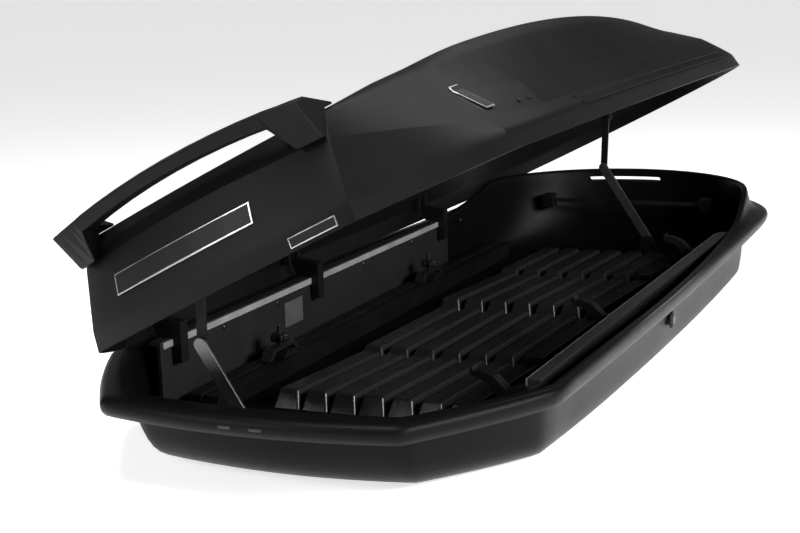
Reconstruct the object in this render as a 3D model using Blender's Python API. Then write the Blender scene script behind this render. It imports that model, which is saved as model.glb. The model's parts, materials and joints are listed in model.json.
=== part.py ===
"""Roof cargo box for a car, lid raised on its left-hand hinge hooks.

Metres. +X runs along the box to its nose, +Y to its left side, +Z up. The origin is
the middle of the flat underside of the tray. The lid is drawn shut, then turned open.
"""

import math

import bmesh
import bpy
from mathutils import Matrix, Vector
from mathutils.bvhtree import BVHTree

# ---- overall ------------------------------------------------------------------
SKIN = 0.004                 # wall of both plastic shells
TRAY_SKIN_Z = SKIN           # top face of the tray floor
CREST_Z = 0.1465             # top of the tray rim
UPSTAND = 0.057              # how far the nose wall stands above the rim
UPSTAND_FROM = 0.68          # where that wall starts to rise
UPSTAND_TO = 0.86            # where it is at full height
LIP_LOW_Z = 0.113            # lower edge of the rolled rim
LID_Z = 0.1545               # lower edge of the shut lid
HINGE_Y = 0.401              # axis the lid turns on
HINGE_Z = 0.185
LID_OPEN = math.radians(26.5)  # lid angle in the pose drawn
RIDGE_X = -0.10              # highest point of the roof
RIDGE_H = 0.262              # its height above the lid edge
GAP = 0.0004                 # clearance left between touching pieces

# ---- stations along each half outline -------------------------------------------
REAR_STEPS = 4
CHAMFER_STEPS = 4
SIDE_STEPS = 10
NOSE_STEPS = 9

# ---- floor ribs -----------------------------------------------------------------
RIB_PITCH = 0.058
RIB_COUNT = 7
RIB_WIDTH = 0.038
RIB_FLANK = 0.009
RIB_TOP = 0.040
RIB_LOW = 0.022
RIB_BANKS = ((-0.71, -0.335), (-0.335, 0.095), (0.095, 0.49), (0.49, 0.84))
RIB_STARTS = (RIB_TOP, 0.031, RIB_TOP, 0.031)

# ---- rails, panels and lock bars -------------------------------------------------
RAIL_Y = 0.266
RAIL_TOP_Y = 0.330
RAIL_Z = 0.045
RAIL_X = (-0.80, 0.77)
PANEL_Y = 0.353
PANEL_T = 0.008
PANEL_LOW_Z = 0.028
PANEL_TOP_Z = {1: 0.1525, -1: 0.1420}  # left panel, right panel
PANEL_X = (-0.85, 0.53)
BAR_DROP = 0.002            # top of a lock bar below the top of its panel
BAR_H = 0.0125
BAR_X = (-0.845, 0.515)
BAR_T = 0.004
HOOK_X = (-0.80, -0.24, 0.47)
HOOK_W = 0.026
PIN_R = 0.0035
CUP_R = 0.0072
LATCH_PIVOT = (-0.338, 0.110)  # y, z of the axis a right-hand latch turns on
LATCH_REST = math.radians(110)  # how far a free latch is laid back

# ---- lid lifters ------------------------------------------------------------------
# x, then the (y, z) of the foot, knuckle and lid pivots with the lid raised
LIFTERS = (
    ("rear", -1.008, (0.063, 0.026), (0.172, 0.200), (0.170, 0.337)),
    ("front", 0.93, (-0.072, 0.036), (0.055, 0.232), (0.048, 0.369)),
)
FRAME_HALF = 0.150                      # half width of the frames inside the lid
FRAME_LOW = {"rear": 0.105, "front": 0.078}  # their lower edge above the lid edge
FRAME_CLEAR = 0.007                     # from the lid's outer skin to the top of a frame
ARM_T = 0.006
ARM_W = 0.024
LINK_W = 0.018

# ---- wing, plates and lock -----------------------------------------------------------
WING_HALF = 0.2525
WING_OPEN = 0.190            # the gap under the wing reaches this far out
WING_CHORD = 0.050
WING_FOOT_X = -1.045
WING_FOOT_H = (0.136, 0.155, 0.171)  # heights where the foot meets the rear face
WING_STEP = 0.182                    # height at which it turns forward over the roof's edge
WING_GAP = 0.0012
PLATE_T = 0.0016
PLATE_GAP = 0.0006
LOCK_X = -0.105
LOCK_Z = 0.073
LOCK_R = 0.0115
SLOT_Y = (-0.060, 0.145)     # hand slot through the nose wall
SLOT_Z = (0.171, 0.183)

# ---- clamps ------------------------------------------------------------------------
CLAMPS = (
    ("rear_left", -0.50, 0.298),
    ("front_left", 0.27, 0.298),
    ("rear_right", -0.50, -0.298),
    ("front_right", 0.27, -0.298),
)
KNOB_R = 0.020
KNOB_LOBES = 5


def clear_scene():
    for obj in list(bpy.data.objects):
        bpy.data.objects.remove(obj, do_unlink=True)


def material(name, colour, roughness, metallic=0.0):
    made = bpy.data.materials.new(name)
    made.use_nodes = True
    shader = made.node_tree.nodes["Principled BSDF"]
    shader.inputs["Base Color"].default_value = (*colour, 1.0)
    shader.inputs["Roughness"].default_value = roughness
    shader.inputs["Metallic"].default_value = metallic
    made.diffuse_color = (*colour, 1.0)
    return made


def node_from(name, points, faces, look, origin=(0, 0, 0)):
    """One object from points and faces, its origin moved to where it turns or rests."""
    mesh = bpy.data.meshes.new(name)
    mesh.from_pydata([Vector(p) - Vector(origin) for p in points], [], faces)
    mesh.validate()
    build = bmesh.new()
    build.from_mesh(mesh)
    bmesh.ops.recalc_face_normals(build, faces=build.faces)
    build.to_mesh(mesh)
    build.free()
    mesh.materials.append(look)
    obj = bpy.data.objects.new(name, mesh)
    obj.location = origin
    bpy.context.scene.collection.objects.link(obj)
    return obj


# ---- outlines --------------------------------------------------------------------

def mix(a, b, t):
    return tuple(p + (q - p) * t for p, q in zip(a, b))


def through(a, b, c, t):
    """The curve from a (t=0) through b (t=0.5) to c (t=1)."""
    wa, wb, wc = (1 - t) * (1 - 2 * t), 4 * t * (1 - t), t * (2 * t - 1)
    return tuple(p * wa + q * wb + r * wc for p, q, r in zip(a, b, c))


def half_ring(rear, corner, flank, shoulder, middle, start, tip):
    """One level drawn through seven key points, each (x, y, z), with shared stations."""
    ring = []
    for i in range(REAR_STEPS):
        t = i / REAR_STEPS
        x = rear[0] + (corner[0] - rear[0]) * t * t
        ring.append((x, corner[1] * t, rear[2] + (corner[2] - rear[2]) * t * t))
    for i in range(CHAMFER_STEPS):
        t = i / CHAMFER_STEPS
        x, y, z = mix(corner, flank, t)
        bulge = 0.10 * t * (1 - t)
        ring.append((x - bulge * (flank[1] - corner[1]), y + bulge * (flank[0] - corner[0]), z))
    ring.append(flank)
    for i in range(SIDE_STEPS):
        ring.append(through(shoulder, middle, start, i / SIDE_STEPS))
    for i in range(NOSE_STEPS + 1):
        turn = math.pi / 2 * i / NOSE_STEPS
        x = start[0] + (tip[0] - start[0]) * math.sin(turn)
        rise = math.sin(turn) ** 2
        ring.append((x, start[1] * math.cos(turn), start[2] + (tip[2] - start[2]) * rise))
    return ring


def whole_ring(half):
    """The half outline, then its mirror image, as one closed loop."""
    left = [(x, y, z) for x, y, z in half]
    right = [(x, -y, z) for x, y, z in half[-2:0:-1]]
    return left + right


def add_ring(points, half):
    start = len(points)
    loop = whole_ring(half)
    points.extend(loop)
    return list(range(start, start + len(loop)))


def strip(lower, upper):
    count = len(lower)
    return [
        (lower[i], lower[(i + 1) % count], upper[(i + 1) % count], upper[i])
        for i in range(count)
    ]


def cap(points, loop, half, crown, across=6):
    """Cross-lines over a loop, raised to crown(x) in the middle."""
    count = len(half)
    rows = []
    for i in range(count):
        left = loop[i]
        right = loop[(len(loop) - i) % len(loop)]
        if left == right:
            rows.append([left] * (across + 1))
            continue
        x, y, z = half[i]
        row = [left]
        for k in range(1, across):
            side = 1 - 2 * k / across
            lift = (crown(x) - z) * (1 - abs(side) ** 2.2)
            points.append((x, y * side, z + lift))
            row.append(len(points) - 1)
        rows.append([*row, right])
    faces = []
    for low, high in zip(rows, rows[1:]):
        for k in range(across):
            corners = [low[k], low[k + 1], high[k + 1], high[k]]
            faces.append(tuple(dict.fromkeys(corners)))
    return faces


def thicken(obj, depth):
    solid = obj.modifiers.new("wall", "SOLIDIFY")
    solid.thickness = depth
    solid.offset = -1
    solid.use_even_offset = True
    return solid


def smoothstep(t):
    t = min(max(t, 0.0), 1.0)
    return t * t * (3 - 2 * t)


def upstand_height(x):
    return UPSTAND * smoothstep((x - UPSTAND_FROM) / (UPSTAND_TO - UPSTAND_FROM))


def raised(half):
    return [(x, y, z + upstand_height(x)) for x, y, z in half]


# ---- shells ----------------------------------------------------------------------

def tray_levels():
    """Levels of the tray skin, from the edge of the floor out to the lower lip."""
    def level(z, rear, corner, flank, sides, start, tip):
        shoulder, middle = sides
        return half_ring(
            (rear, 0, z), (*corner, z), (*flank, z), (-0.60, shoulder, z),
            (0.08, middle, z), (*start, z), (tip, 0, z),
        )
    floor = level(
        TRAY_SKIN_Z, -1.035, (-1.008, 0.22), (-0.815, 0.355), (0.368, 0.373),
        (0.70, 0.358), 0.985)
    low = level(
        0.024, -1.098, (-1.072, 0.236), (-0.858, 0.38), (0.385, 0.387),
        (0.72, 0.36), 1.035)
    high = level(
        0.120, -1.135, (-1.108, 0.243), (-0.874, 0.391), (0.395, 0.395),
        (0.75, 0.36), 1.085)
    inner = level(
        CREST_Z - 0.004, -1.146, (-1.118, 0.246), (-0.882, 0.404), (0.407, 0.407),
        (0.76, 0.354), 1.112)
    edge = level(
        CREST_Z, -1.150, (-1.122, 0.247), (-0.884, 0.4075), (0.4105, 0.4105),
        (0.765, 0.357), 1.116)
    crest = level(
        CREST_Z, -1.190, (-1.158, 0.259), (-0.893, 0.419), (0.422, 0.422),
        (0.775, 0.366), 1.130)
    shelf = level(
        CREST_Z - 0.001, -1.193, (-1.161, 0.26), (-0.894, 0.4215), (0.4245, 0.4245),
        (0.782, 0.373), 1.140)
    slope = level(
        CREST_Z - 0.003, -1.199, (-1.167, 0.263), (-0.896, 0.425), (0.428, 0.426),
        (0.795, 0.404), 1.172)
    bulge = level(
        0.136, -1.206, (-1.173, 0.266), (-0.898, 0.429), (0.432, 0.431),
        (0.80, 0.414), 1.199)
    under = level(
        0.123, -1.206, (-1.173, 0.266), (-0.898, 0.429), (0.432, 0.431),
        (0.80, 0.414), 1.199)
    lower = level(
        LIP_LOW_Z, -1.196, (-1.164, 0.262), (-0.895, 0.422), (0.425, 0.424),
        (0.80, 0.406), 1.189)
    return [
        floor, low, high, raised(inner), raised(edge), raised(crest), shelf, slope, bulge,
        under, lower,
    ]


def make_tray(look):
    levels = tray_levels()
    points = []
    loops = [add_ring(points, half) for half in levels]
    faces = cap(points, loops[0], levels[0], lambda x: TRAY_SKIN_Z, across=2)
    for low, high in zip(loops, loops[1:]):
        faces += strip(low, high)
    obj = node_from("tray", points, faces, look)
    thicken(obj, SKIN)
    for index, (start, end) in enumerate(RIB_BANKS):
        bank = rib_bank(index, start, end, look)
        combine(obj, bank, "UNION")
    bore = turned_y("lock_bore", (LOCK_X, LOCK_Z), ((-0.43, LOCK_R + GAP), (-0.36, LOCK_R + GAP)), look)
    combine(obj, bore, "DIFFERENCE")
    combine(obj, slot_cutter(look), "DIFFERENCE")
    return obj


def combine(obj, other, operation):
    step = obj.modifiers.new(other.name, "BOOLEAN")
    step.operation = operation
    step.solver = "EXACT"
    step.object = other
    other.hide_render = True
    other.display_type = "WIRE"


def slot_cutter(look):
    """Round-ended hand slot through the nose wall."""
    low, high = SLOT_Z
    radius = (high - low) / 2
    middle = (low + high) / 2
    outline = []
    for end, phase in ((SLOT_Y[1] - radius, -90), (SLOT_Y[0] + radius, 90)):
        for i in range(5):
            turn = math.radians(phase + 45 * i)
            outline.append((end + radius * math.cos(turn), middle + radius * math.sin(turn)))
    points, faces = along_x(outline, 1.0, 1.2)
    return node_from("hand_slot", points, faces, look)


def turned_y(name, middle, profile, look, count=20):
    """A body turned about a line along Y through middle = (x, z)."""
    sections = []
    for y, radius in profile:
        sections.append([(x, y, z) for x, z in circle(middle, radius, count)])
    points, faces = loft(sections)
    return node_from(name, points, faces, look, (middle[0], profile[0][0], middle[1]))


def rib_bank(index, start, end, look):
    """One row of lengthwise ribs, each highest at its rear end."""
    points = []
    faces = []
    foot = TRAY_SKIN_Z - SKIN / 2
    lean = 0.012
    for k in range(RIB_COUNT):
        middle = (k - (RIB_COUNT - 1) / 2) * RIB_PITCH
        half = RIB_WIDTH / 2
        base = len(points)
        for x, top, back in ((start, RIB_STARTS[index], lean), (end, RIB_LOW, 0.0)):
            points += [
                (x - back / 2, middle - half - RIB_FLANK, foot),
                (x - back / 2, middle + half + RIB_FLANK, foot),
                (x + back, middle + half, top),
                (x + back, middle - half, top),
            ]
        a = [base + i for i in range(8)]
        faces += [
            (a[0], a[1], a[2], a[3]), (a[7], a[6], a[5], a[4]), (a[0], a[4], a[5], a[1]),
            (a[1], a[5], a[6], a[2]), (a[2], a[6], a[7], a[3]), (a[3], a[7], a[4], a[0]),
        ]
    return node_from(f"rib_bank_{index}", points, faces, look)


def lid_levels():
    """Levels of the shut lid's skin, from its lower edge up to its roof."""
    z = LID_Z
    edge = half_ring(
        (-1.203, 0, z), (-1.168, 0.263, z), (-0.895, 0.422, z), (-0.60, 0.424, z),
        (0.08, 0.424, z), (0.80, 0.408, z), (1.196, 0, z))
    belt = half_ring(
        (-1.198, 0, z + 0.034), (-1.161, 0.261, z + 0.033), (-0.866, 0.417, z + 0.034),
        (-0.60, 0.42, z + 0.034), (0.08, 0.42, z + 0.034), (0.795, 0.403, z + 0.034),
        (1.186, 0, z + 0.034))
    band = half_ring(
        (-1.150, 0, z + 0.143), (-1.112, 0.255, z + 0.133), (-0.845, 0.382, z + 0.064),
        (-0.60, 0.401, z + 0.060), (0.08, 0.404, z + 0.058), (0.79, 0.388, z + 0.058),
        (1.165, 0, z + 0.056))
    panel = half_ring(
        (-1.131, 0, z + 0.160), (-1.096, 0.253, z + 0.156), (-0.785, 0.322, z + 0.137),
        (-0.575, 0.372, z + 0.113), (0.08, 0.374, z + 0.110), (0.77, 0.358, z + 0.103),
        (1.135, 0, z + 0.088))
    roof = half_ring(
        (-1.102, 0, z + 0.178), (-1.075, 0.25, z + 0.178), (-0.735, 0.258, z + 0.214),
        (-0.615, 0.302, z + 0.226), (0.08, 0.32, z + 0.232), (0.72, 0.288, z + 0.168),
        (1.045, 0, z + 0.120))
    return [edge, belt, band, panel, roof]


def roof_crown(x):
    """Height of the lid's ridge line, highest at RIDGE_X."""
    if x < RIDGE_X:
        drop = 0.086 * ((RIDGE_X - x) / (1.10 + RIDGE_X)) ** 1.6
    else:
        drop = 0.148 * ((x - RIDGE_X) / (1.045 - RIDGE_X)) ** 2.2
    return LID_Z + RIDGE_H - drop


def lid_turn():
    """The turn from shut to raised, about the hinge axis."""
    pivot = Matrix.Translation((0, HINGE_Y, HINGE_Z))
    return pivot @ Matrix.Rotation(-LID_OPEN, 4, "X") @ pivot.inverted()


def open_points(points):
    turn = lid_turn()
    return [tuple(turn @ Vector(p)) for p in points]


def on_lid(name, points, faces, look):
    return node_from(name, open_points(points), faces, look, (0, HINGE_Y, HINGE_Z))


def make_lid(look):
    points, faces = lid_skin()
    obj = on_lid("lid", points, faces, look)
    thicken(obj, SKIN)
    return obj


# ---- simple solids ------------------------------------------------------------------

def loft(sections):
    """Points and faces of a closed body through sections of equal point count."""
    count = len(sections[0])
    points = [p for section in sections for p in section]
    faces = [tuple(range(count)), tuple(range(len(points) - count, len(points)))[::-1]]
    for row in range(len(sections) - 1):
        a, b = row * count, (row + 1) * count
        for i in range(count):
            j = (i + 1) % count
            faces.append((a + j, a + i, b + i, b + j))
    return points, faces


def along_x(profile, start, end):
    return loft([[(x, y, z) for y, z in profile] for x in (start, end)])


def along_y(profile, start, end):
    return loft([[(x, y, z) for x, z in profile] for y in (start, end)])


def block(x, y, z):
    """A box from three (low, high) pairs."""
    return along_x([(y[0], z[0]), (y[1], z[0]), (y[1], z[1]), (y[0], z[1])], *x)


def circle(middle, radius, count, phase=0.0):
    return [
        (
            middle[0] + radius * math.cos(phase + math.tau * i / count),
            middle[1] + radius * math.sin(phase + math.tau * i / count),
        )
        for i in range(count)
    ]


def upright(outlines):
    """A body stacked from (z, outline of (x, y)) pairs."""
    return loft([[(x, y, z) for x, y in outline] for z, outline in outlines])


def mirrored(profile, side):
    return [(y * side, z) for y, z in profile]


# ---- rails and panels -----------------------------------------------------------------

def make_rail(name, side, look):
    z = TRAY_SKIN_Z + GAP
    middle = (RAIL_Y + RAIL_TOP_Y) / 2
    profile = [
        (RAIL_Y + 0.010, z), (RAIL_TOP_Y, z), (RAIL_TOP_Y, RAIL_Z),
        (middle + 0.006, RAIL_Z), (middle + 0.006, RAIL_Z - 0.010),
        (middle - 0.006, RAIL_Z - 0.010), (middle - 0.006, RAIL_Z), (RAIL_Y, RAIL_Z),
    ]
    points, faces = along_x(mirrored(profile, side), *RAIL_X)
    return node_from(name, points, faces, look)


def make_panel(name, side, look):
    """Upright sheet inside the long wall, with a fold along its top."""
    low, high = PANEL_LOW_Z, PANEL_TOP_Z[side]
    profile = [
        (PANEL_Y, low), (PANEL_Y + PANEL_T, low), (PANEL_Y + PANEL_T, high - 0.010),
        (PANEL_Y + 0.024, high - 0.006), (PANEL_Y + 0.024, high), (PANEL_Y, high),
    ]
    points, faces = along_x(mirrored(profile, side), *PANEL_X)
    return node_from(name, points, faces, look)


def bar_solid(side):
    face = PANEL_Y - GAP
    top = PANEL_TOP_Z[side] - BAR_DROP
    profile = [
        (face - BAR_T, top - BAR_H), (face, top - BAR_H), (face, top), (face - BAR_T, top),
    ]
    return along_x(mirrored(profile, side), *BAR_X)


def make_lock_bar(name, side, look):
    points, faces = bar_solid(side)
    return node_from(name, points, faces, look)


def hook_profile():
    """Housing on the panel, an arm over its top and a cup under the hinge pin."""
    inner = PANEL_Y - 0.005
    top = PANEL_TOP_Z[1] + 0.001
    cup = []
    clear = PIN_R + 0.0007
    for i in range(9):
        turn = math.radians(190 + 20 * i)
        cup.append((HINGE_Y + CUP_R * math.cos(turn), HINGE_Z + CUP_R * math.sin(turn)))
    for i in range(9):
        turn = math.radians(350 - 20 * i)
        cup.append((HINGE_Y + clear * math.cos(turn), HINGE_Z + clear * math.sin(turn)))
    back = [(HINGE_Y - CUP_R - 0.001, HINGE_Z + 0.006), (HINGE_Y - 0.020, HINGE_Z + 0.004)]
    foot = [
        (inner - 0.016, HINGE_Z - 0.002), (inner - 0.016, 0.106), (inner, 0.106),
        (inner, top), (HINGE_Y - 0.018, top),
    ]
    return foot + cup[1:] + back


def make_hinge_hook(name, x, look):
    points, faces = along_x(hook_profile(), x - HOOK_W / 2, x + HOOK_W / 2)
    return node_from(name, points, faces, look)


def make_hinge_pin(name, x, side, look):
    """Pin on the hinge axis between two lugs that hang from the lid wall."""
    reach = HOOK_W / 2 + 0.004
    lug = 0.008
    y, z = HINGE_Y, HINGE_Z
    sections = []
    ring = circle((y, z), PIN_R, 12, math.pi / 12)
    ear = [
        (y + 0.0045, z - 0.004), (y + 0.0045, z + 0.001), (y + 0.0015, z + 0.006),
        (y - 0.003, z + 0.010), (y - 0.013, z + 0.022), (y - 0.019, z + 0.022),
        (y - 0.012, z + 0.010), (y - 0.0075, z + 0.002), (y - 0.0075, z - 0.004),
        (y - 0.004, z - 0.0065), (y - 0.0005, z - 0.0075), (y + 0.003, z - 0.0065),
    ]
    order = sorted(range(12), key=lambda i: math.atan2(ear[i][1] - z, ear[i][0] - y))
    ear = [ear[i] for i in order]
    ring = sorted(ring, key=lambda p: math.atan2(p[1] - z, p[0] - y))
    for offset, outline in (
        (-reach - lug, ear), (-reach, ear), (-reach, ring), (reach, ring),
        (reach, ear), (reach + lug, ear),
    ):
        sections.append([(x + offset, py * side, pz) for py, pz in outline])
    points, faces = loft(sections)
    return on_lid(name, points, faces, look)


def make_latch(name, x, look):
    """Right-hand latch, drawn upright then laid back about its own pivot."""
    y, z = LATCH_PIVOT
    foot = [(-0.007, -0.002), (0.004, -0.004), (0.0095, 0.002), (0.0095, 0.0345)]
    beak = [
        (-0.0075, -0.005), (-0.0065, 0.003), (-0.0035, 0.005), (0.0018, 0.0048),
        (0.0002, 0.0095), (-0.004, 0.0125), (-0.015, 0.009),
    ]
    neck = [(0.038, 0.048)]
    back = [(0.032, 0.062), (0.0, 0.055), (-0.009, 0.040), (-0.009, 0.002)]
    out = [(-y + du, z + dz) for du, dz in foot + neck]
    out += [(HINGE_Y + du, HINGE_Z + dz) for du, dz in beak]
    out += [(-y + du, z + dz) for du, dz in back]
    profile = mirrored(out, -1)
    turn = Matrix.Rotation(-LATCH_REST, 2)
    laid = []
    for py, pz in profile:
        shifted = turn @ Vector((py - y, pz - z))
        laid.append((y + shifted.x, z + shifted.y))
    points, faces = along_x(laid, x - HOOK_W / 2, x + HOOK_W / 2)
    return node_from(name, points, faces, look, (x, y, z))


def make_front_trim(look, steel):
    """Tie rod across the nose end and the block that holds each of its ends."""
    points, faces = block((0.957, 0.969), (-0.205, 0.205), (0.128, 0.138))
    rod = node_from("tie_rod", points, faces, steel)
    made = [rod]
    for label, side in (("left", 1), ("right", -1)):
        y = sorted((side * 0.2055, side * 0.236))
        points, faces = block((0.946, 0.980), y, (0.114, 0.150))
        made.append(node_from(f"rod_block_{label}", points, faces, look))
    return made


def make_lock(look, steel):
    """Key cylinder through the right wall with its ring outside and its cam inside."""
    ring = [(-0.4070, LOCK_R + 0.0035), (-0.4055, LOCK_R + 0.0060), (-0.4015, LOCK_R + 0.0070)]
    inner = LOCK_R + 0.0008
    outline = [(-0.4070, inner), *ring, (-0.4015, inner)]
    sections = []
    for y, radius in outline:
        sections.append([(x, y, z) for x, z in circle((LOCK_X, LOCK_Z), radius, 20)])
    points, faces = loft(sections)
    count = len(sections[0])
    last = len(points) - count
    faces = faces[2:] + [(i, (i + 1) % count, last + (i + 1) % count, last + i) for i in range(count)]
    node_from("lock_ring", points, faces, look)
    barrel = [
        (-0.4085, LOCK_R - 0.0015), (-0.4075, LOCK_R), (-0.3800, LOCK_R), (-0.3795, LOCK_R - 0.003),
        (-0.3680, LOCK_R - 0.003),
    ]
    turned_y("lock_cylinder", (LOCK_X, LOCK_Z), barrel, steel)


# ---- lid fittings -------------------------------------------------------------------

def blade(y):
    """(x, z) outline of the free part of the rear wing at one distance from the centre."""
    bottom = LID_Z + 0.197 - 0.35 * y * y
    top = LID_Z + 0.222 - 0.28 * y * y
    back = -1.178 + 0.28 * y * y
    front = back + WING_CHORD
    low = [(back + 0.004 + (front - back - 0.004) * t, bottom) for t in (0, 0.3, 0.6, 0.9)]
    return low + [
        (front, bottom + 0.003), (front - 0.002, top - 0.008), (back + 0.020, top),
        (back, top - 0.006),
    ]


def wing_foot(y, tree):
    """(x, z) outline of the wing's foot, hugging the rear face and the edge of the roof."""
    face = []
    for h in WING_FOOT_H:
        hit, _, _, _ = tree.ray_cast(Vector((-1.6, y, LID_Z + h)), Vector((1, 0, 0)))
        face.append((hit.x - WING_GAP, LID_Z + h))
    face[-1] = (face[-1][0], LID_Z + WING_STEP)
    hit, _, _, _ = tree.ray_cast(Vector((WING_FOOT_X, y, 1.0)), Vector((0, 0, -1)))
    deck = hit.z + WING_GAP
    top = LID_Z + 0.222 - 0.28 * y * y
    back = -1.178 + 0.28 * y * y
    return [(face[0][0] - 0.014, face[0][1] - 0.001), *face] + [
        (WING_FOOT_X, deck), (WING_FOOT_X, deck + 0.004), (back + 0.035, top),
        (back, top - 0.006),
    ]


def make_wing(tree, look):
    half = [0.05, 0.10, 0.145, WING_OPEN, 0.200, 0.210, 0.232, WING_HALF]
    sections = []
    for y in [-y for y in half[::-1]] + [0.0] + half:
        ease = smoothstep((abs(y) - WING_OPEN) / 0.022)
        outline = blade(y)
        if ease > 0:
            outline = [mix(p, q, ease) for p, q in zip(outline, wing_foot(y, tree))]
        sections.append([(x, y, z) for x, z in outline])
    points, faces = loft(sections)
    return on_lid("rear_wing", points, faces, look)


def lid_skin():
    """The shut lid's outer skin, for laying plates and frames against."""
    levels = lid_levels()
    points = []
    loops = [add_ring(points, half) for half in levels]
    faces = []
    for low, high in zip(loops, loops[1:]):
        faces += strip(low, high)
    faces += cap(points, loops[-1], levels[-1], roof_crown)
    return points, faces


def plate_on(name, tree, spots, aim, look):
    """A thin plate over a grid of spots, each carried along aim onto the skin."""
    near = []
    far = []
    for row in spots:
        for spot in row:
            hit, normal, _, _ = tree.ray_cast(Vector(spot), Vector(aim))
            outward = normal if normal.dot(Vector(aim)) < 0 else -normal
            near.append(hit + outward * PLATE_GAP)
            far.append(hit + outward * (PLATE_GAP + PLATE_T))
    across = len(spots[0])
    rows = len(spots)
    last = len(near)
    faces = []
    for i in range(rows - 1):
        for k in range(across - 1):
            a = i * across + k
            faces.append((a, a + 1, a + across + 1, a + across))
            faces.append((a + last, a + across + last, a + across + 1 + last, a + 1 + last))
    rim = list(range(across))
    rim += [i * across + across - 1 for i in range(1, rows)]
    rim += [(rows - 1) * across + k for k in range(across - 2, -1, -1)]
    rim += [i * across for i in range(rows - 2, 0, -1)]
    for a, b in zip(rim, rim[1:] + rim[:1]):
        faces.append((a, a + last, b + last, b))
    points = [tuple(p) for p in near + far]
    return on_lid(name, points, faces, look)


def grid(first, second, place):
    """place(u, v) at each u of first and each v of second."""
    return [[place(u, v) for u in first] for v in second]


def even(start, end, steps):
    return [start + (end - start) * i / steps for i in range(steps + 1)]


def make_plates(tree, look):
    """Blank plates: a long one and a short one across the back, a small one on the side."""
    behind = -1.6
    beside = -0.8
    long_one = grid(even(-0.11, 0.18, 12), even(0.066, 0.100, 2),
                    lambda u, v: (behind, u, LID_Z + v))
    plate_on("rear_plate", tree, long_one, (1, 0, 0), look)
    short_one = grid(even(-0.236, -0.156, 6), even(0.005, 0.022, 2),
                     lambda u, v: (behind, u, LID_Z + v))
    plate_on("model_plate", tree, short_one, (1, 0, 0), look)
    small = grid(even(-0.773, -0.745, 4), even(0.084, 0.146, 6),
                 lambda u, v: (u + 0.20 * (v - 0.115), beside, LID_Z + v))
    plate_on("side_plate", tree, small, (0, 1, 0), look)


def make_lid_frame(label, x, half, foot, tree, look):
    """Cross frame under the roof, its top edge following the inside of the lid."""
    sections = []
    for y in even(-half, half, 12):
        hit, _, _, _ = tree.ray_cast(Vector((x, y, LID_Z)), Vector((0, 0, 1)))
        top = hit.z - FRAME_CLEAR
        sections.append([
            (x - 0.012, y, foot), (x + 0.012, y, foot), (x + 0.008, y, top - 0.010),
            (x + 0.008, y, top - 0.004), (x - 0.008, y, top - 0.004), (x - 0.008, y, top - 0.010),
        ])
    points, faces = loft(sections)
    return on_lid(f"lid_frame_{label}", points, faces, look)


# ---- lifters ----------------------------------------------------------------------------

def link_outline(a, b, width, count=8):
    """A bar with round ends from a to b, as (y, z) points."""
    angle = math.atan2(b[1] - a[1], b[0] - a[0])
    out = []
    for i in range(count + 1):
        turn = angle + math.pi / 2 + math.pi * i / count
        out.append((a[0] + width / 2 * math.cos(turn), a[1] + width / 2 * math.sin(turn)))
    for i in range(count + 1):
        turn = angle - math.pi / 2 + math.pi * i / count
        out.append((b[0] + width / 2 * math.cos(turn), b[1] + width / 2 * math.sin(turn)))
    return out


def make_lifter(label, x, foot, knuckle, top, frame_z, look, steel):
    """Arm from a foot on the floor, link from the knuckle up, and the bracket it hangs on."""
    made = []
    points, faces = along_x(link_outline(foot, knuckle, ARM_W), x, x + ARM_T)
    made.append(node_from(f"lifter_{label}_arm", points, faces, steel, (x, *foot)))
    side = x + ARM_T + 0.001
    points, faces = along_x(link_outline(top, knuckle, LINK_W), side, side + ARM_T)
    made.append(node_from(f"lifter_{label}_link", points, faces, look, (x, *top)))
    low = TRAY_SKIN_Z + GAP
    base = [
        (foot[0] - 0.030, low), (foot[0] + 0.030, low), (foot[0] + 0.030, low + 0.005),
        (foot[0] + 0.010, foot[1] + 0.012), (foot[0] - 0.010, foot[1] + 0.012),
        (foot[0] - 0.030, low + 0.005),
    ]
    points, faces = along_x(base, x - 0.012, x - 0.001)
    made.append(node_from(f"lifter_{label}_foot", points, faces, look))
    shut = lid_turn().inverted() @ Vector((x, *top))
    hanger = [
        (shut.y - 0.010, shut.z - 0.010), (shut.y + 0.010, shut.z - 0.010),
        (shut.y + 0.018, frame_z - GAP), (shut.y - 0.018, frame_z - GAP),
    ]
    far = side + ARM_T + 0.001
    points, faces = along_x(hanger, far, far + 0.010)
    made.append(on_lid(f"lifter_{label}_bracket", points, faces, look))
    return made


# ---- clamps -------------------------------------------------------------------------------

def lobed(middle, radius, lobes):
    out = []
    count = lobes * 6
    for i in range(count):
        turn = math.tau * i / count
        reach = radius * (0.86 + 0.14 * math.cos(lobes * turn))
        out.append((middle[0] + reach * math.cos(turn), middle[1] + reach * math.sin(turn)))
    return out


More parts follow.
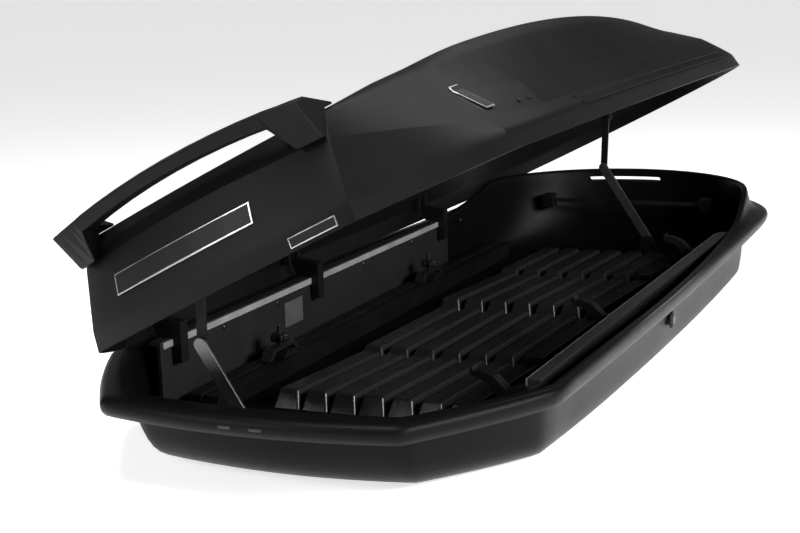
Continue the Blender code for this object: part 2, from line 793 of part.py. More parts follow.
def make_clamp(label, x, y, look, steel):
    made = []
    side = 1 if y > 0 else -1
    z = RAIL_Z + GAP
    half = 0.030
    saddle = [
        (x - half, z), (x + half, z), (x + half, z + 0.004), (x + 0.014, z + 0.014),
        (x - 0.014, z + 0.014), (x - half, z + 0.004),
    ]
    points, faces = along_y(saddle, y - 0.026, y + 0.026)
    made.append(node_from(f"clamp_{label}_saddle", points, faces, look))
    arm_z = z + 0.014 + GAP
    claw = [
        (x - 0.062, z + 0.001), (x - 0.052, z + 0.001), (x - 0.034, arm_z + 0.001),
        (x + 0.034, arm_z + 0.001), (x + 0.052, z + 0.001), (x + 0.062, z + 0.001),
        (x + 0.046, arm_z + 0.008), (x - 0.046, arm_z + 0.008),
    ]
    points, faces = along_y(claw, y - 0.012, y + 0.012)
    made.append(node_from(f"clamp_{label}_claw", points, faces, steel))
    stud_z = arm_z + 0.008 + GAP
    points, faces = upright([
        (stud_z, circle((x, y), 0.0045, 10)), (stud_z + 0.040, circle((x, y), 0.0045, 10)),
    ])
    made.append(node_from(f"clamp_{label}_stud", points, faces, steel))
    knob_z = stud_z + 0.006
    inner = circle((x, y), 0.0052, KNOB_LOBES * 6)
    full = lobed((x, y), KNOB_R, KNOB_LOBES)
    small = lobed((x, y), KNOB_R * 0.80, KNOB_LOBES)
    rings = [
        (knob_z, inner), (knob_z, small), (knob_z + 0.004, full), (knob_z + 0.013, full),
        (knob_z + 0.017, small), (knob_z + 0.017, inner),
    ]
    points = [(px, py, pz) for pz, outline in rings for px, py in outline]
    count = len(inner)
    faces = []
    for row in range(len(rings)):
        a, b = row * count, (row + 1) % len(rings) * count
        faces += [(a + i, a + (i + 1) % count, b + (i + 1) % count, b + i) for i in range(count)]
    made.append(node_from(f"clamp_{label}_knob", points, faces, look, (x, y, knob_z)))
    return made


def main():
    clear_scene()
    plastic = material("black_abs", (0.012, 0.012, 0.013), 0.45)
    dark = material("black_nylon", (0.016, 0.016, 0.017), 0.55)
    steel = material("dark_steel", (0.10, 0.10, 0.105), 0.38, 1.0)
    bright = material("bright_aluminium", (0.45, 0.45, 0.46), 0.35, 1.0)
    plate = material("grey_plate", (0.55, 0.56, 0.58), 0.35)
    make_tray(plastic)
    make_lid(plastic)
    for label, side in (("left", 1), ("right", -1)):
        make_rail(f"rail_{label}", side, dark)
        make_panel(f"side_panel_{label}", side, dark)
        make_lock_bar(f"lock_bar_{label}", side, bright)
    for label, x in zip(("rear", "middle", "front"), HOOK_X):
        make_hinge_hook(f"hinge_hook_{label}", x, dark)
        make_hinge_pin(f"hinge_pin_{label}", x, 1, steel)
        make_hinge_pin(f"catch_pin_{label}", x, -1, steel)
        make_latch(f"latch_{label}", x, dark)
    make_front_trim(dark, steel)
    make_lock(dark, bright)
    skin = BVHTree.FromPolygons(*lid_skin())
    make_wing(skin, plastic)
    make_plates(skin, plate)
    for label, x, foot, knuckle, top in LIFTERS:
        frame_z = LID_Z + FRAME_LOW[label]
        bracket_x = x + 2 * ARM_T + 0.007
        make_lid_frame(label, bracket_x, FRAME_HALF, frame_z, skin, dark)
        make_lifter(label, x, foot, knuckle, top, frame_z, dark, steel)
    for label, x, y in CLAMPS:
        make_clamp(label, x, y, dark, steel)


main()
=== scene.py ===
"""Looks of the roof cargo box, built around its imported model."""

import json
import math

import bmesh
import bpy
import numpy as np
from mathutils import Matrix, Vector
from mathutils.bvhtree import BVHTree

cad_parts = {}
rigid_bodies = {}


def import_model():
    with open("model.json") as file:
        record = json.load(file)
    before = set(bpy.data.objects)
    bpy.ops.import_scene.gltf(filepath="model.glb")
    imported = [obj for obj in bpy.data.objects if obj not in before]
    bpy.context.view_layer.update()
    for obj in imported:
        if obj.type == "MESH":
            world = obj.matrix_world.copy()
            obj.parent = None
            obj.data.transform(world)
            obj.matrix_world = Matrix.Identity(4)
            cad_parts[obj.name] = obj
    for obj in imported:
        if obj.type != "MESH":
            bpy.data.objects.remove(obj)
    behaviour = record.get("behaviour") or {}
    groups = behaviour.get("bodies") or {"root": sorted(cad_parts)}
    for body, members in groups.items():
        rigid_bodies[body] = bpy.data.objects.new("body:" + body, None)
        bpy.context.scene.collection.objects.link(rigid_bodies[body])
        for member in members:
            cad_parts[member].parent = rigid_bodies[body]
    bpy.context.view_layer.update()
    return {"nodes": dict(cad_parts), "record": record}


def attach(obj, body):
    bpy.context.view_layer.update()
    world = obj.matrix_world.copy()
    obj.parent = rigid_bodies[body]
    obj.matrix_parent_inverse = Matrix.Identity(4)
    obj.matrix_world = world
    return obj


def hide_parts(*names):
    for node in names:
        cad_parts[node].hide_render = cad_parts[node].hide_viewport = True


# ---- shape of the two shells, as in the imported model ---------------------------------
SKIN = 0.004
CREST_Z = 0.1465
LIP_LOW_Z = 0.113
LID_Z = 0.1545
HINGE = (0.401, 0.185)
LID_OPEN = math.radians(26.5)
UPSTAND = 0.057
UPSTAND_FROM, UPSTAND_TO = 0.68, 0.86
RIDGE_X, RIDGE_H = -0.10, 0.262
REAR_STEPS, CHAMFER_STEPS, SIDE_STEPS, NOSE_STEPS = 4, 4, 10, 9
CORNER, FLANK, START = 4, 8, 19
RIB_PITCH, RIB_COUNT, RIB_WIDTH, RIB_FLANK = 0.058, 7, 0.038, 0.009
RIB_BANKS = ((-0.71, -0.335), (-0.335, 0.095), (0.095, 0.49), (0.49, 0.84))
RIB_STARTS = (0.040, 0.031, 0.040, 0.031)
RIB_LOW = 0.022
SLOT_BOX = ((1.0, -0.060, 0.171), (1.2, 0.145, 0.183))
SLOT_ROUND = 0.0055

# ---- fittings that only the looks have --------------------------------------------------
BEAD_HEIGHTS = (0.052, 0.036)
BEAD_FROM, BEAD_TO = -0.46, 0.74
LID_RIVETS = ((-0.66, 0.080), (-0.62, 0.080), (0.10, 0.083), (0.14, 0.083))
ROOF_FROM, ROOF_TO = -0.62, 0.66
ROOF_REACH = 0.175
ROOF_TAPER_X, ROOF_TAPER = -0.45, 0.35
ROOF_RISE, ROOF_SINK = 0.0045, -0.002
FACE_MARGINS = (("rear_plate", 0.0030), ("model_plate", 0.0022), ("side_plate", 0.0035))
FACE_PROUD = 0.0006
LABEL_BOX = ((-0.372, 0.3520, 0.068), (-0.292, 0.3528, 0.120))
STUD_XS = (-0.62, -0.40, 0.02, 0.30, 0.62)
STUD_Y, STUD_Z = 0.3528, 0.128
PLUG_YS = (0.016, -0.038)
PLUG_HALF = 0.011

# ---- camera ---------------------------------------------------------------------------
CAM_POS = (-3.248, -1.2139, 0.8492)
CAM_YAW, CAM_PITCH, CAM_ROLL = (math.radians(a) for a in (24.3, 11.4, -1.99))
CAM_LENS = 72.0
FLOOR_REACH = 60.0


# ---- lights: name, place, aim, size, power ---------------------------------------------
LIGHTS = (
    ("key", (-0.9, -3.1, 1.5), (0, 0.3, 0.1), (2.2, 0.8), 125),
    ("back_top", (2.3, 0.1, 3.2), (-0.8, -0.1, 0.5), (1.6, 1.0), 18),
    ("top", (-1.5, 0.3, 3.4), (-1.1, 0, 0.2), (2.4, 0.5), 120),
    ("rim", (-3.6, 1.8, 1.9), (-0.6, 0, 0.3), (1.6, 1.0), 45),
)


# ---- materials ----------------------------------------------------------------------

def add(tree, kind, **inputs):
    node = tree.nodes.new(kind)
    for name, value in inputs.items():
        node.inputs[name.replace("_", " ")].default_value = value
    return node


def fresh(name):
    made = bpy.data.materials.new(name)
    made.use_nodes = True
    return made, made.node_tree, made.node_tree.nodes["Principled BSDF"]


def varied(tree, shader, low, high, scale, rough_low, rough_high):
    """Slow variation of colour and roughness over the surface."""
    place = tree.nodes.new("ShaderNodeTexCoord")
    cloud = add(tree, "ShaderNodeTexNoise", Scale=scale, Detail=5.0, Roughness=0.6)
    tree.links.new(place.outputs["Object"], cloud.inputs["Vector"])
    tint = tree.nodes.new("ShaderNodeValToRGB")
    tint.color_ramp.elements[0].position = 0.30
    tint.color_ramp.elements[1].position = 0.72
    tint.color_ramp.elements[0].color = (*low, 1)
    tint.color_ramp.elements[1].color = (*high, 1)
    tree.links.new(cloud.outputs["Fac"], tint.inputs["Fac"])
    tree.links.new(tint.outputs["Color"], shader.inputs["Base Color"])
    spread = tree.nodes.new("ShaderNodeMapRange")
    spread.inputs["From Min"].default_value = 0.3
    spread.inputs["From Max"].default_value = 0.7
    spread.inputs["To Min"].default_value = rough_low
    spread.inputs["To Max"].default_value = rough_high
    tree.links.new(cloud.outputs["Fac"], spread.inputs["Value"])
    tree.links.new(spread.outputs["Result"], shader.inputs["Roughness"])
    return place


def grained(name, low, high, rough, cell, depth, slow=3.0, specular=0.5):
    """Moulded plastic with a leather-like grain of the given cell size."""
    made, tree, shader = fresh(name)
    place = varied(tree, shader, low, high, slow, rough - 0.04, rough + 0.05)
    shader.inputs["Specular IOR Level"].default_value = specular
    cells = add(tree, "ShaderNodeTexVoronoi", Scale=1 / cell)
    cells.feature = "SMOOTH_F1"
    fine = add(tree, "ShaderNodeTexNoise", Scale=2.5 / cell, Detail=3.0)
    for node in (cells, fine):
        tree.links.new(place.outputs["Object"], node.inputs["Vector"])
    both = tree.nodes.new("ShaderNodeMath")
    both.operation = "ADD"
    tree.links.new(cells.outputs["Distance"], both.inputs[0])
    tree.links.new(fine.outputs["Fac"], both.inputs[1])
    bump = add(tree, "ShaderNodeBump", Strength=0.55, Distance=depth)
    tree.links.new(both.outputs["Value"], bump.inputs["Height"])
    tree.links.new(bump.outputs["Normal"], shader.inputs["Normal"])
    return made


def brushed(name, low, high, rough, stretch, metallic=1.0):
    """Metal with fine lines along the box."""
    made, tree, shader = fresh(name)
    shader.inputs["Metallic"].default_value = metallic
    place = varied(tree, shader, low, high, 14.0, rough - 0.06, rough + 0.08)
    turn = tree.nodes.new("ShaderNodeMapping")
    turn.inputs["Scale"].default_value = stretch
    lines = add(tree, "ShaderNodeTexNoise", Scale=90.0, Detail=4.0)
    tree.links.new(place.outputs["Object"], turn.inputs["Vector"])
    tree.links.new(turn.outputs["Vector"], lines.inputs["Vector"])
    bump = add(tree, "ShaderNodeBump", Strength=0.25, Distance=0.0002)
    tree.links.new(lines.outputs["Fac"], bump.inputs["Height"])
    tree.links.new(bump.outputs["Normal"], shader.inputs["Normal"])
    return made


def make_looks():
    return {
        "lid": grained(
            "abs_lid", (0.0034, 0.0034, 0.0037), (0.0056, 0.0056, 0.0060),
            rough=0.42, cell=0.0011, depth=0.00030, slow=3.0, specular=0.12),
        "tray": grained(
            "abs_tray", (0.0030, 0.0030, 0.0033), (0.0048, 0.0048, 0.0052),
            rough=0.33, cell=0.0009, depth=0.00022, slow=3.0, specular=0.07),
        "black_nylon": grained(
            "nylon", (0.0045, 0.0045, 0.0048), (0.0080, 0.0080, 0.0084),
            rough=0.44, cell=0.0006, depth=0.00015, slow=9.0, specular=0.22),
        # inner side panels: the black plastic painted several times lighter, painted light standing in
        # for light falling into the open box
        "panel": grained(
            "abs_panel_painted_light", (0.016, 0.016, 0.017), (0.022, 0.022, 0.023),
            rough=0.36, cell=0.0010, depth=0.00020, slow=5.0, specular=0.25),
        # floor ribs: the tray's black plastic painted several times lighter, a painted highlight
        # standing in for sheen on the rib tops
        "rib": grained(
            "abs_ribs_painted_sheen", (0.016, 0.016, 0.0165), (0.022, 0.022, 0.0225),
            rough=0.25, cell=0.0009, depth=0.00011, slow=5.0, specular=0.55),
        "dark_steel": brushed(
            "coated_steel", (0.010, 0.010, 0.011), (0.018, 0.018, 0.019),
            rough=0.34, stretch=(1, 1, 1), metallic=0.25),
        "bright_aluminium": brushed(
            "brushed_aluminium", (0.38, 0.38, 0.39), (0.55, 0.55, 0.56),
            rough=0.34, stretch=(0.05, 8, 8), metallic=0.35),
        "grey_plate": grained(
            "satin_plate", (0.010, 0.010, 0.0105), (0.014, 0.014, 0.0145),
            rough=0.38, cell=0.0005, depth=0.00004, slow=2.0, specular=0.12),
        "plate_rim": brushed(
            "plate_rim", (0.50, 0.50, 0.51), (0.62, 0.62, 0.63),
            rough=0.28, stretch=(0.05, 8, 8)),
        "link": brushed(
            "arm_steel", (0.14, 0.14, 0.145), (0.22, 0.22, 0.225),
            rough=0.34, stretch=(8, 8, 0.05), metallic=0.9),
        "label": grained(
            "plain_label", (0.070, 0.070, 0.071), (0.095, 0.095, 0.096),
            rough=0.5, cell=0.0007, depth=0.00004, slow=30.0, specular=0.3),
    }


# ---- shells ---------------------------------------------------------------------------

def mix(a, b, t):
    return tuple(p + (q - p) * t for p, q in zip(a, b))


def through(a, b, c, t):
    wa, wb, wc = (1 - t) * (1 - 2 * t), 4 * t * (1 - t), t * (2 * t - 1)
    return tuple(p * wa + q * wb + r * wc for p, q, r in zip(a, b, c))


def half_ring(rear, corner, flank, shoulder, middle, start, tip):
    """One level drawn through seven key points, each (x, y, z), with shared stations."""
    ring = []
    for i in range(REAR_STEPS):
        t = i / REAR_STEPS
        x = rear[0] + (corner[0] - rear[0]) * t * t
        ring.append((x, corner[1] * t, rear[2] + (corner[2] - rear[2]) * t * t))
    for i in range(CHAMFER_STEPS):
        t = i / CHAMFER_STEPS
        x, y, z = mix(corner, flank, t)
        bulge = 0.10 * t * (1 - t)
        ring.append((x - bulge * (flank[1] - corner[1]), y + bulge * (flank[0] - corner[0]), z))
    ring.append(flank)
    for i in range(SIDE_STEPS):
        ring.append(through(shoulder, middle, start, i / SIDE_STEPS))
    for i in range(NOSE_STEPS + 1):
        turn = math.pi / 2 * i / NOSE_STEPS
        x = start[0] + (tip[0] - start[0]) * math.sin(turn)
        rise = math.sin(turn) ** 2
        ring.append((x, start[1] * math.cos(turn), start[2] + (tip[2] - start[2]) * rise))
    return ring


def add_ring(points, half):
    start = len(points)
    loop = [tuple(p) for p in half] + [(x, -y, z) for x, y, z in half[-2:0:-1]]
    points.extend(loop)
    return list(range(start, start + len(loop)))


def strip(lower, upper):
    count = len(lower)
    return [
        (lower[i], lower[(i + 1) % count], upper[(i + 1) % count], upper[i])
        for i in range(count)
    ]


def cap(points, loop, half, crown, across):
    rows = []
    for i in range(len(half)):
        left = loop[i]
        right = loop[(len(loop) - i) % len(loop)]
        if left == right:
            rows.append([left] * (across + 1))
            continue
        x, y, z = half[i]
        row = [left]
        for k in range(1, across):
            side = 1 - 2 * k / across
            lift = (crown(x) - z) * (1 - abs(side) ** 2.2)
            points.append((x, y * side, z + lift))
            row.append(len(points) - 1)
        rows.append([*row, right])
    faces = []
    for low, high in zip(rows, rows[1:]):
        for k in range(across):
            corners = [low[k], low[k + 1], high[k + 1], high[k]]
            faces.append(tuple(dict.fromkeys(corners)))
    return faces


def smoothstep(t):
    t = min(max(t, 0.0), 1.0)
    return t * t * (3 - 2 * t)


def raised(half):
    span = UPSTAND_TO - UPSTAND_FROM
    return [(x, y, z + UPSTAND * smoothstep((x - UPSTAND_FROM) / span)) for x, y, z in half]


def tray_levels():
    """Levels of the tray skin, from the edge of the floor out to the lower lip."""
    def level(z, rear, corner, flank, sides, start, tip):
        shoulder, middle = sides
        return half_ring(
            (rear, 0, z), (*corner, z), (*flank, z), (-0.60, shoulder, z),
            (0.08, middle, z), (*start, z), (tip, 0, z),
        )
    floor = level(
        SKIN, -1.035, (-1.008, 0.22), (-0.815, 0.355), (0.368, 0.373),
        (0.70, 0.358), 0.985)
    low = level(
        0.024, -1.098, (-1.072, 0.236), (-0.858, 0.38), (0.385, 0.387),
        (0.72, 0.36), 1.035)
    high = level(
        0.120, -1.135, (-1.108, 0.243), (-0.874, 0.391), (0.395, 0.395),
        (0.75, 0.36), 1.085)
    inner = level(
        CREST_Z - 0.004, -1.146, (-1.118, 0.246), (-0.882, 0.404), (0.407, 0.407),
        (0.76, 0.354), 1.112)
    edge = level(
        CREST_Z, -1.150, (-1.122, 0.247), (-0.884, 0.4075), (0.4105, 0.4105),
        (0.765, 0.357), 1.116)
    crest = level(
        CREST_Z, -1.190, (-1.158, 0.259), (-0.893, 0.419), (0.422, 0.422),
        (0.775, 0.366), 1.130)
    shelf = level(
        CREST_Z - 0.001, -1.193, (-1.161, 0.26), (-0.894, 0.4215), (0.4245, 0.4245),
        (0.782, 0.373), 1.140)
    slope = level(
        CREST_Z - 0.003, -1.199, (-1.167, 0.263), (-0.896, 0.425), (0.428, 0.426),
        (0.795, 0.404), 1.172)
    bulge = level(
        0.136, -1.206, (-1.173, 0.266), (-0.898, 0.429), (0.432, 0.431),
        (0.80, 0.414), 1.199)
    under = level(
        0.123, -1.206, (-1.173, 0.266), (-0.898, 0.429), (0.432, 0.431),
        (0.80, 0.414), 1.199)
    lower = level(
        LIP_LOW_Z, -1.196, (-1.164, 0.262), (-0.895, 0.422), (0.425, 0.424),
        (0.80, 0.406), 1.189)
    return [
        floor, low, high, raised(inner), raised(edge), raised(crest), shelf, slope, bulge,
        under, lower,
    ]


def lid_levels():
    """Levels of the shut lid's skin, from its lower edge up to its roof."""
    z = LID_Z
    edge = half_ring(
        (-1.203, 0, z), (-1.168, 0.263, z), (-0.895, 0.422, z), (-0.60, 0.424, z),
        (0.08, 0.424, z), (0.80, 0.408, z), (1.196, 0, z))
    belt = half_ring(
        (-1.198, 0, z + 0.034), (-1.161, 0.261, z + 0.033), (-0.866, 0.417, z + 0.034),
        (-0.60, 0.42, z + 0.034), (0.08, 0.42, z + 0.034), (0.795, 0.403, z + 0.034),
        (1.186, 0, z + 0.034))
    band = half_ring(
        (-1.150, 0, z + 0.143), (-1.112, 0.255, z + 0.133), (-0.845, 0.382, z + 0.064),
        (-0.60, 0.401, z + 0.060), (0.08, 0.404, z + 0.058), (0.79, 0.388, z + 0.058),
        (1.165, 0, z + 0.056))
    panel = half_ring(
        (-1.131, 0, z + 0.160), (-1.096, 0.253, z + 0.156), (-0.785, 0.322, z + 0.137),
        (-0.575, 0.372, z + 0.113), (0.08, 0.374, z + 0.110), (0.77, 0.358, z + 0.103),
        (1.135, 0, z + 0.088))
    roof = half_ring(
        (-1.102, 0, z + 0.178), (-1.075, 0.25, z + 0.178), (-0.735, 0.258, z + 0.214),
        (-0.615, 0.302, z + 0.226), (0.08, 0.32, z + 0.232), (0.72, 0.288, z + 0.168),
        (1.045, 0, z + 0.120))
    return [edge, belt, band, panel, roof]


def roof_crown(x):
    """Height of the lid's ridge line, highest at RIDGE_X."""
    if x < RIDGE_X:
        drop = 0.086 * ((RIDGE_X - x) / (1.10 + RIDGE_X)) ** 1.6
    else:
        drop = 0.148 * ((x - RIDGE_X) / (1.045 - RIDGE_X)) ** 2.2
    return LID_Z + RIDGE_H - drop


def opened(points):
    pivot = Matrix.Translation((0, *HINGE))
    turn = pivot @ Matrix.Rotation(-LID_OPEN, 4, "X") @ pivot.inverted()
    return [turn @ Vector(p) for p in points]


def new_piece(name, points, faces, look, body, smooth=None):
    mesh = bpy.data.meshes.new(name)
    mesh.from_pydata([tuple(p) for p in points], [], faces)
    mesh.validate()
    build = bmesh.new()
    build.from_mesh(mesh)
    bmesh.ops.recalc_face_normals(build, faces=build.faces)
    build.to_mesh(mesh)
    build.free()
    mesh.materials.append(look)
    obj = bpy.data.objects.new(name, mesh)
    bpy.context.scene.collection.objects.link(obj)
    if smooth is not None:
        for face in mesh.polygons:
            face.use_smooth = True
        mesh.set_sharp_from_angle(angle=math.radians(smooth))
    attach(obj, body)
    return obj


def crease(obj, rows, count, row_creases, column_creases):
    """Sharpens whole levels, and whole stations, of a shell made of rings."""
    mesh = obj.data
    layer = mesh.attributes.new("crease_edge", "FLOAT", "EDGE")
    values = [0.0] * len(mesh.edges)
    for edge in mesh.edges:
        a, b = edge.vertices
        if max(a, b) >= rows * count:
            continue
        row_a, column_a = divmod(a, count)
        row_b, column_b = divmod(b, count)
        if row_a == row_b:
            values[edge.index] = row_creases.get(row_a, 0.0)
        elif column_a == column_b:
            column = min(column_a, count - column_a)
            values[edge.index] = column_creases.get(column, {}).get(min(row_a, row_b), 0.0)
    layer.data.foreach_set("value", values)
    sharp = mesh.attributes.new("sharp_edge", "BOOLEAN", "EDGE")
    sharp.data.foreach_set("value", [value >= 0.9 for value in values])


def shell(name, points, faces, look, body, rows, count, row_creases, column_creases, node):
    obj = new_piece(name, points, faces, look, body)
    crease(obj, rows, count, row_creases, column_creases)
    for face in obj.data.polygons:
        face.use_smooth = True
    smooth = obj.modifiers.new("round", "SUBSURF")
    smooth.levels = 2
    smooth.render_levels = 2
    wall = obj.modifiers.new("wall", "SOLIDIFY")
    wall.thickness = SKIN
    wall.offset = -1
    wall.use_even_offset = True
    edge = obj.modifiers.new("edge", "BEVEL")
    edge.width = 0.0012
    edge.segments = 2
    edge.limit_method = "ANGLE"
    edge.angle_limit = math.radians(60)
    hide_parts(node)
    return obj


def ring_count():
    return 2 * (REAR_STEPS + CHAMFER_STEPS + 1 + SIDE_STEPS + NOSE_STEPS + 1) - 2


def make_tray(look, rib_painted_sheen_look):
    levels = tray_levels()
    points = []
    loops = [add_ring(points, half) for half in levels]
    faces = cap(points, loops[0], levels[0], lambda x: SKIN, across=2)
    for low, high in zip(loops, loops[1:]):
        faces += strip(low, high)
    last = len(levels) - 1
    corner = {row: 0.55 for row in range(last)}
    tray = shell(
        "tray_shell", points, faces, look, "tray", len(levels), ring_count(),
        {0: 0.5, 3: 0.4, 5: 0.3, last: 1.0},
        {CORNER: corner, FLANK: corner}, "tray")
    cutter = rounded_box("hand_slot", *SLOT_BOX, SLOT_ROUND, look)
    cut = tray.modifiers.new("hand_slot", "BOOLEAN")
    cut.operation = "DIFFERENCE"
    cut.solver = "EXACT"
    cut.object = cutter
    cutter.hide_render = True
    cutter.hide_viewport = True
    # the ribs take the rib look, whose lighter colour is a painted highlight
    for index, (start, end) in enumerate(RIB_BANKS):
        make_ribs(index, start, end, rib_painted_sheen_look)


def rounded_box(name, low, high, radius, look, body=None):
    mesh = bpy.data.meshes.new(name)
    build = bmesh.new()
    bmesh.ops.create_cube(build, size=1.0)
    for vert in build.verts:
        for axis in range(3):
            vert.co[axis] = low[axis] if vert.co[axis] < 0 else high[axis]
    build.to_mesh(mesh)
    build.free()
    mesh.materials.append(look)
    obj = bpy.data.objects.new(name, mesh)
    bpy.context.scene.collection.objects.link(obj)
    soften = obj.modifiers.new("soften", "BEVEL")
    soften.width = radius
    soften.segments = 3
    if body:
        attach(obj, body)
    return obj


def make_ribs(index, start, end, look):
    """One bank of ribs, their faces drawn in and their edges rounded."""
    for k in range(RIB_COUNT):
        middle = (k - (RIB_COUNT - 1) / 2) * RIB_PITCH
        half = RIB_WIDTH / 2
        points = []
        for x, top, back in ((start, RIB_STARTS[index], 0.012), (end, RIB_LOW, 0.0)):
            points += [
                (x - back / 2, middle - half - RIB_FLANK, SKIN / 2),
                (x - back / 2, middle + half + RIB_FLANK, SKIN / 2),
                (x + back, middle + half, top),
                (x + back, middle - half, top),
            ]
        faces = [
            (0, 1, 2, 3), (7, 6, 5, 4), (0, 4, 5, 1), (1, 5, 6, 2), (2, 6, 7, 3), (3, 7, 4, 0),
        ]
        rib = new_piece(f"rib_{index}_{k}", points, faces, look, "tray", smooth=30)
        soft = rib.modifiers.new("soft", "BEVEL")
        soft.width = 0.0045
        soft.segments = 3
        soft.harden_normals = True


def lid_points():
    levels = lid_levels()
    points = []
    loops = [add_ring(points, half) for half in levels]
    faces = []
    for low, high in zip(loops, loops[1:]):
        faces += strip(low, high)
    faces += cap(points, loops[-1], levels[-1], roof_crown, across=6)
    return points, faces, len(levels)


def make_lid(look):
    points, faces, rows = lid_points()
    edge = {0: 0.95, 1: 0.95, 2: 0.95, 3: 0.95}
    shell(
        "lid_shell", opened(points), faces, look, "lid", rows, ring_count(),
        {0: 1.0, 1: 0.80, 2: 0.95, 3: 0.95, 4: 0.85},
        {CORNER: edge, FLANK: edge, FLANK + 1: {2: 0.95, 3: 0.95}}, "lid")


# ---- small fittings on the lid -----------------------------------------------------------

def lid_tree():
    points, faces, _ = lid_points()
    return BVHTree.FromPolygons([Vector(p) for p in points], faces)


def side_spot(tree, x, h):
    """Where the right side of the shut lid lies, at x and height h above its edge."""
    hit, normal, _, _ = tree.ray_cast(Vector((x, -0.8, LID_Z + h)), Vector((0, 1, 0)))
    return hit, (normal if normal.y < 0 else -normal)


def bead(name, tree, path, width, height, look):
    """A low moulded ridge along a path of (x, h) on the right side of the lid."""
    points = []
    for x, h in path:
        low, out = side_spot(tree, x, h - width / 2)
        high, _ = side_spot(tree, x, h + width / 2)
        points += [
            low - out * 0.002, low + (high - low) * 0.2 + out * height,
            low + (high - low) * 0.8 + out * height, high - out * 0.002,
        ]
    faces = [(0, 1, 2, 3), tuple(range(len(points) - 4, len(points)))[::-1]]
    for i in range(len(path) - 1):
        a, b = i * 4, i * 4 + 4
        for k in range(4):
            n = (k + 1) % 4
            faces.append((a + n, a + k, b + k, b + n))
    return new_piece(name, opened(points), faces, look, "lid", smooth=50)


def even(start, end, steps):
    return [start + (end - start) * i / steps for i in range(steps + 1)]


def rivet(name, centre, out, radius, height, look, body, turn_open):
    """A domed fastener head standing on a surface."""
    side = out.cross(Vector((0, 0, 1))).normalized()
    up = side.cross(out).normalized()
    rings = [(radius, -0.001), (radius, height * 0.35), (radius * 0.72, height * 0.85)]
    points = []
    for reach, lift in rings:
        for i in range(14):
            turn = math.tau * i / 14
            points.append(centre + out * lift + (side * math.cos(turn) + up * math.sin(turn)) * reach)
    top = len(points)
    points.append(centre + out * height)
    faces = [tuple(range(14))[::-1]]
    for row in range(2):
        for i in range(14):
            j = (i + 1) % 14
            faces.append((row * 14 + i, row * 14 + j, row * 14 + 14 + j, row * 14 + 14 + i))
    for i in range(14):
        faces.append((28 + i, 28 + (i + 1) % 14, top))
    if turn_open:
        points = opened(points)
    return new_piece(name, points, faces, look, body, smooth=35)


def make_lid_details(looks):
    tree = lid_tree()
    roof_panel(tree, looks["lid"])
    for index, h in enumerate(BEAD_HEIGHTS):
        path = [(x, h) for x in even(BEAD_FROM, BEAD_TO, 40)]
        bead(f"lid_bead_{index}", tree, path, 0.006, 0.0022, looks["lid"])
    for index, (x, h) in enumerate(LID_RIVETS):
        spot, out = side_spot(tree, x, h)
        rivet(f"lid_rivet_{index}", spot, out, 0.0045, 0.0022, looks["black_nylon"], "lid", True)


def roof_panel(tree, look):
    """The raised middle of the roof, a thin plate that follows the roof and slopes off at its edge."""
    stations = even(ROOF_FROM, ROOF_TO, 32)
    across = 14
    points = []
    for x in stations:
        reach = ROOF_REACH - ROOF_TAPER * max(ROOF_TAPER_X - x, 0.0)
        for k in range(across + 1):
            y = reach * (1 - 2 * k / across)
            hit = tree.ray_cast(Vector((x, y, 1.0)), Vector((0, 0, -1)))[0]
            rim = k in (0, across) or x in (stations[0], stations[-1])
            points.append(hit + Vector((0, 0, ROOF_SINK if rim else ROOF_RISE)))
    row = across + 1
    faces = []
    for i in range(len(stations) - 1):
        for k in range(across):
            a = i * row + k
            faces.append((a, a + 1, a + row + 1, a + row))
    panel = new_piece("roof_panel", opened(points), faces, look, "lid", smooth=14)
    backing = panel.modifiers.new("backing", "SOLIDIFY")
    backing.thickness = 0.002
    backing.offset = -1


# ---- faces and trims ---------------------------------------------------------------------

def plate_face(node, look, margin):
    """Dark blank face set on a plate, which leaves the plate's edge as a thin light frame."""
    rows = np.array([node.matrix_world @ v.co for v in node.data.vertices])
    middle = (rows.min(axis=0) + rows.max(axis=0)) / 2
    _, axes = np.linalg.eigh(np.cov((rows - middle).T))
    out, across, along = axes.T
    if out @ (middle - np.array([0, 0, 0.35])) < 0:
        out = -out
    moved = rows + out * FACE_PROUD
    for axis in (across, along):
        reach = (rows - middle) @ axis
        centre = (reach.max() + reach.min()) / 2
        half = (reach.max() - reach.min()) / 2
        moved -= np.outer((reach - centre) * (margin / half), axis)
    faces = [tuple(face.vertices) for face in node.data.polygons]
    return new_piece(f"{node.name}_face", moved.tolist(), faces, look, "lid", smooth=30)


def make_plate_faces(frame, look):
    for name, margin in FACE_MARGINS:
        plate_face(frame["nodes"][name], look, margin)


def make_tray_trims(looks):
    """Label, wall studs and the small plugs in the rear lip."""
    steel = looks["dark_steel"]
    rounded_box("wall_label", *LABEL_BOX, 0.0003, looks["label"], "tray")
    for index, x in enumerate(STUD_XS):
        spot = Vector((x, STUD_Y, STUD_Z))
        rivet(f"wall_stud_{index}", spot, Vector((0, -1, 0)), 0.006, 0.003, steel, "tray", False)
    for index, y in enumerate(PLUG_YS):
        low = (-1.2052, y - PLUG_HALF, 0.1262)
        high = (-1.1990, y + PLUG_HALF, 0.1312)
        rounded_box(f"lip_plug_{index}", low, high, 0.0012, steel, "tray")


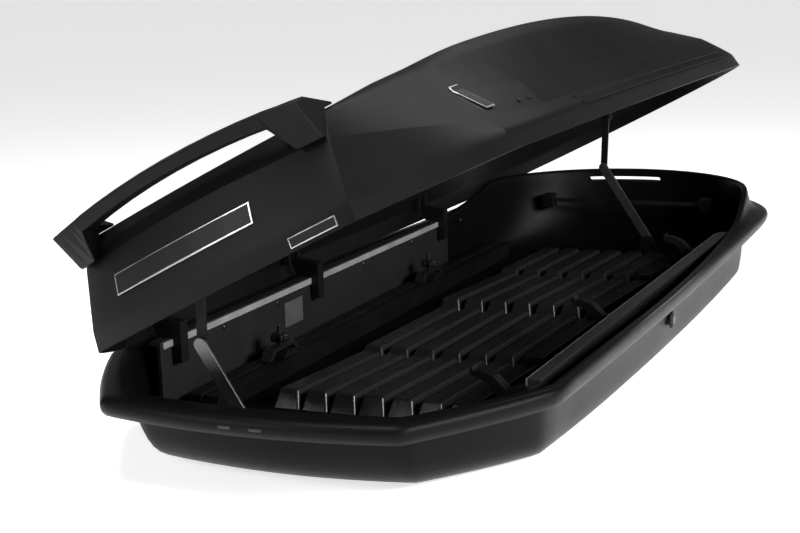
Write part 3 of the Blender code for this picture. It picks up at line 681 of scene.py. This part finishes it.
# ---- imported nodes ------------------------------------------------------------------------

def dress_nodes(frame, looks):
    slots = {part["node"]: part["material_slot"] for part in frame["record"]["subparts"]}
    special = {"rear_wing": "lid", "lock_cylinder": "dark_steel"}
    for name in ("rear_plate", "model_plate", "side_plate"):
        special[name] = "plate_rim"
    # the side panels take the panel look, whose lighter colour is painted light
    for name in ("side_panel_left", "side_panel_right"):
        special[name] = "panel"
    for name in ("lifter_rear_arm", "lifter_front_arm"):
        special[name] = "link"
    for name, obj in frame["nodes"].items():
        if obj.hide_render:
            continue
        look = looks[special.get(name, slots[name])]
        obj.data.materials.clear()
        obj.data.materials.append(look)
        weld = obj.modifiers.new("weld", "WELD")
        weld.merge_threshold = 0.00002
        soft = obj.modifiers.new("soft", "BEVEL")
        soft.width = 0.003 if name == "rear_wing" else 0.0010
        soft.segments = 3 if name == "rear_wing" else 2
        soft.limit_method = "ANGLE"
        soft.angle_limit = math.radians(28)


# ---- studio ---------------------------------------------------------------------------------

def make_camera():
    cos_y, sin_y = math.cos(CAM_YAW), math.sin(CAM_YAW)
    cos_p, sin_p = math.cos(CAM_PITCH), math.sin(CAM_PITCH)
    ahead = Vector((cos_y * cos_p, sin_y * cos_p, -sin_p))
    right = Vector((sin_y, -cos_y, 0))
    up = right.cross(ahead)
    cos_r, sin_r = math.cos(CAM_ROLL), math.sin(CAM_ROLL)
    side = right * cos_r + up * sin_r
    top = up * cos_r - right * sin_r
    data = bpy.data.cameras.new("camera")
    data.lens = CAM_LENS
    data.sensor_width = 36.0
    data.clip_end = 200
    camera = bpy.data.objects.new("camera", data)
    camera.matrix_world = Matrix((
        (side.x, top.x, -ahead.x, CAM_POS[0]),
        (side.y, top.y, -ahead.y, CAM_POS[1]),
        (side.z, top.z, -ahead.z, CAM_POS[2]),
        (0, 0, 0, 1),
    ))
    bpy.context.scene.collection.objects.link(camera)
    bpy.context.scene.camera = camera


def area_light(name, place, aim, size, power):
    data = bpy.data.lights.new(name, "AREA")
    data.shape = "RECTANGLE"
    data.size, data.size_y = size
    data.energy = power
    lamp = bpy.data.objects.new(name, data)
    lamp.location = place
    lamp.rotation_mode = "QUATERNION"
    lamp.rotation_quaternion = (Vector(aim) - Vector(place)).to_track_quat("-Z", "Y")
    bpy.context.scene.collection.objects.link(lamp)


def make_studio():
    bpy.context.scene.view_settings.view_transform = "Standard"
    world = bpy.data.worlds.new("studio")
    bpy.context.scene.world = world
    world.use_nodes = True
    back = world.node_tree.nodes["Background"]
    sky = world.node_tree.nodes.new("ShaderNodeTexCoord")
    split = world.node_tree.nodes.new("ShaderNodeSeparateXYZ")
    ramp = world.node_tree.nodes.new("ShaderNodeValToRGB")
    ramp.color_ramp.elements[0].position = 0.06
    ramp.color_ramp.elements[0].color = (0.75, 0.75, 0.75, 1)
    ramp.color_ramp.elements[1].position = 0.16
    ramp.color_ramp.elements[1].color = (0.05, 0.05, 0.05, 1)
    world.node_tree.links.new(sky.outputs["Generated"], split.inputs["Vector"])
    world.node_tree.links.new(split.outputs["Z"], ramp.inputs["Fac"])
    world.node_tree.links.new(ramp.outputs["Color"], back.inputs["Color"])
    back.inputs["Strength"].default_value = 1.0
    made, _, shader = fresh("floor")
    shader.inputs["Base Color"].default_value = (0.85, 0.85, 0.85, 1)
    shader.inputs["Roughness"].default_value = 0.9
    shader.inputs["Specular IOR Level"].default_value = 0.1
    shader.inputs["Emission Color"].default_value = (1, 1, 1, 1)
    shader.inputs["Emission Strength"].default_value = 0.72
    mesh = bpy.data.meshes.new("floor")
    around = ((-1, -1), (1, -1), (1, 1), (-1, 1))
    mesh.from_pydata([(x * FLOOR_REACH, y * FLOOR_REACH, -0.001) for x, y in around], [], [(0, 1, 2, 3)])
    mesh.materials.append(made)
    floor = bpy.data.objects.new("floor", mesh)
    bpy.context.scene.collection.objects.link(floor)
    for lamp in LIGHTS:
        area_light(*lamp)


def main():
    for obj in list(bpy.data.objects):
        bpy.data.objects.remove(obj, do_unlink=True)
    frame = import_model()
    looks = make_looks()
    make_tray(looks["tray"], looks["rib"])
    make_lid(looks["lid"])
    make_lid_details(looks)
    dress_nodes(frame, looks)
    make_plate_faces(frame, looks["grey_plate"])
    make_tray_trims(looks)
    make_studio()
    make_camera()
    bpy.context.view_layer.update()


main()
